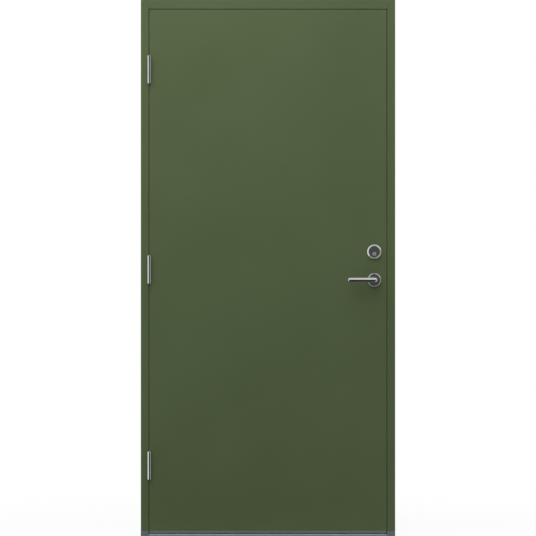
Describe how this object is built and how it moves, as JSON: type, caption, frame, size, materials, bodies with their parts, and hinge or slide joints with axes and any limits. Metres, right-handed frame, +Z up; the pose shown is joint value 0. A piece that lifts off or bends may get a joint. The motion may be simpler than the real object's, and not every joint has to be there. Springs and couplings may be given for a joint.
{
  "type": "exterior door",
  "caption": "Flat painted exterior door leaf in its frame, opening outward on lift-off hinges, with lever handle, key cylinder, mortise lock and aluminium threshold.",
  "frame": {"origin": "middle of the threshold's underside, halfway through the frame's depth", "axes": "+X to the lock side as seen from outside, +Y into the house, +Z up"},
  "size_m": [0.99, 0.182, 2.09],
  "materials": {
    "green_paint": "satin",
    "bare_wood": "matte",
    "mineral_wool": "matte",
    "sill_aluminium": "satin",
    "black_plastic": "matte",
    "grey_plastic": "matte",
    "seal_rubber": "matte",
    "zinc_steel": "satin",
    "satin_chrome": "satin",
    "brass": "satin"
  },
  "bodies": {
    "frame": {"hinge_jamb": "green_paint", "lock_jamb": "green_paint", "frame_head": "green_paint", "hinge_stop": "green_paint", "lock_stop": "green_paint", "head_stop": "green_paint", "sill_outer": "sill_aluminium", "sill_break": "black_plastic", "sill_inner": "sill_aluminium", "end_block_hinge_side": "grey_plastic", "end_block_lock_side": "grey_plastic", "seal_hinge_side": "seal_rubber", "seal_lock_side": "seal_rubber", "seal_head": "seal_rubber", "seal_sill": "seal_rubber", "strike_plate": "zinc_steel", "strike_screws": "zinc_steel", "fixing_sleeves": "zinc_steel", "head_screws": "zinc_steel", "sill_screws": "zinc_steel", "frame_hinge_bottom": "zinc_steel", "frame_hinge_middle": "zinc_steel", "frame_hinge_top": "zinc_steel", "hinge_pins": "zinc_steel", "hinge_washers": "zinc_steel", "frame_hinge_screws": "zinc_steel"},
    "leaf": {"outer_skin": "green_paint", "inner_skin": "green_paint", "hinge_stile": "green_paint", "lock_stile": "green_paint", "top_rail": "bare_wood", "bottom_rail": "bare_wood", "insulation_core": "mineral_wool", "bottom_strip": "sill_aluminium", "drip_seal": "seal_rubber", "leaf_hinge_bottom": "zinc_steel", "leaf_hinge_middle": "zinc_steel", "leaf_hinge_top": "zinc_steel", "leaf_hinge_screws": "zinc_steel", "lock_case": "zinc_steel", "lock_cover": "zinc_steel", "lock_forend": "zinc_steel", "forend_screws": "zinc_steel", "latch_spring": "zinc_steel", "outside_rose": "satin_chrome", "inside_rose": "satin_chrome", "rose_bolts": "zinc_steel", "cylinder_ring": "satin_chrome", "cylinder_body": "satin_chrome", "turn_rose": "satin_chrome", "cylinder_screws": "zinc_steel"},
    "handle": {"outside_lever": "satin_chrome", "inside_lever": "satin_chrome", "spindle": "zinc_steel", "follower": "brass"},
    "latch": {"latch_bolt": "zinc_steel"},
    "bolt": {"dead_bolt": "zinc_steel"},
    "turn": {"thumb_turn": "satin_chrome", "bolt_cam": "brass"},
    "plug": {"key_plug": "satin_chrome"}
  },
  "joints": [
    {"name": "leaf_swing", "type": "hinge", "parent": "frame", "child": "leaf", "pos_m": [-0.4615, -0.0655, 1.0385], "axis": [0, 0, -1], "range_deg": [0, 175]},
    {"name": "handle_turn", "type": "hinge", "parent": "leaf", "child": "handle", "pos_m": [0.4135, -0.0295, 0.998], "axis": [0, -1, 0], "range_deg": [0, 40], "stiffness_Nm_per_rad": 1.5, "springref_deg": -28.65},
    {"name": "latch_slide", "type": "slide", "parent": "leaf", "child": "latch", "axis": [-1, 0, 0], "range_m": [0, 0.011], "deforming": ["latch_spring"]},
    {"name": "thumb_turn_rotate", "type": "hinge", "parent": "leaf", "child": "turn", "pos_m": [0.4135, -0.0295, 1.0995], "axis": [0, -1, 0], "range_deg": [0, 90]},
    {"name": "bolt_slide", "type": "slide", "parent": "leaf", "child": "bolt", "axis": [1, 0, 0], "range_m": [0, 0.02]},
    {"name": "key_plug_turn", "type": "hinge", "parent": "leaf", "child": "plug", "pos_m": [0.4135, -0.0295, 1.0995], "axis": [0, -1, 0], "range_deg": [0, 90]}
  ],
  "couplings": [
    {"joint": "latch_slide", "follows": "handle_turn", "m_per_rad": 0.01575},
    {"joint": "bolt_slide", "follows": "thumb_turn_rotate", "m_per_rad": 0.01273},
    {"joint": "key_plug_turn", "follows": "thumb_turn_rotate", "ratio": 1}
  ]
}
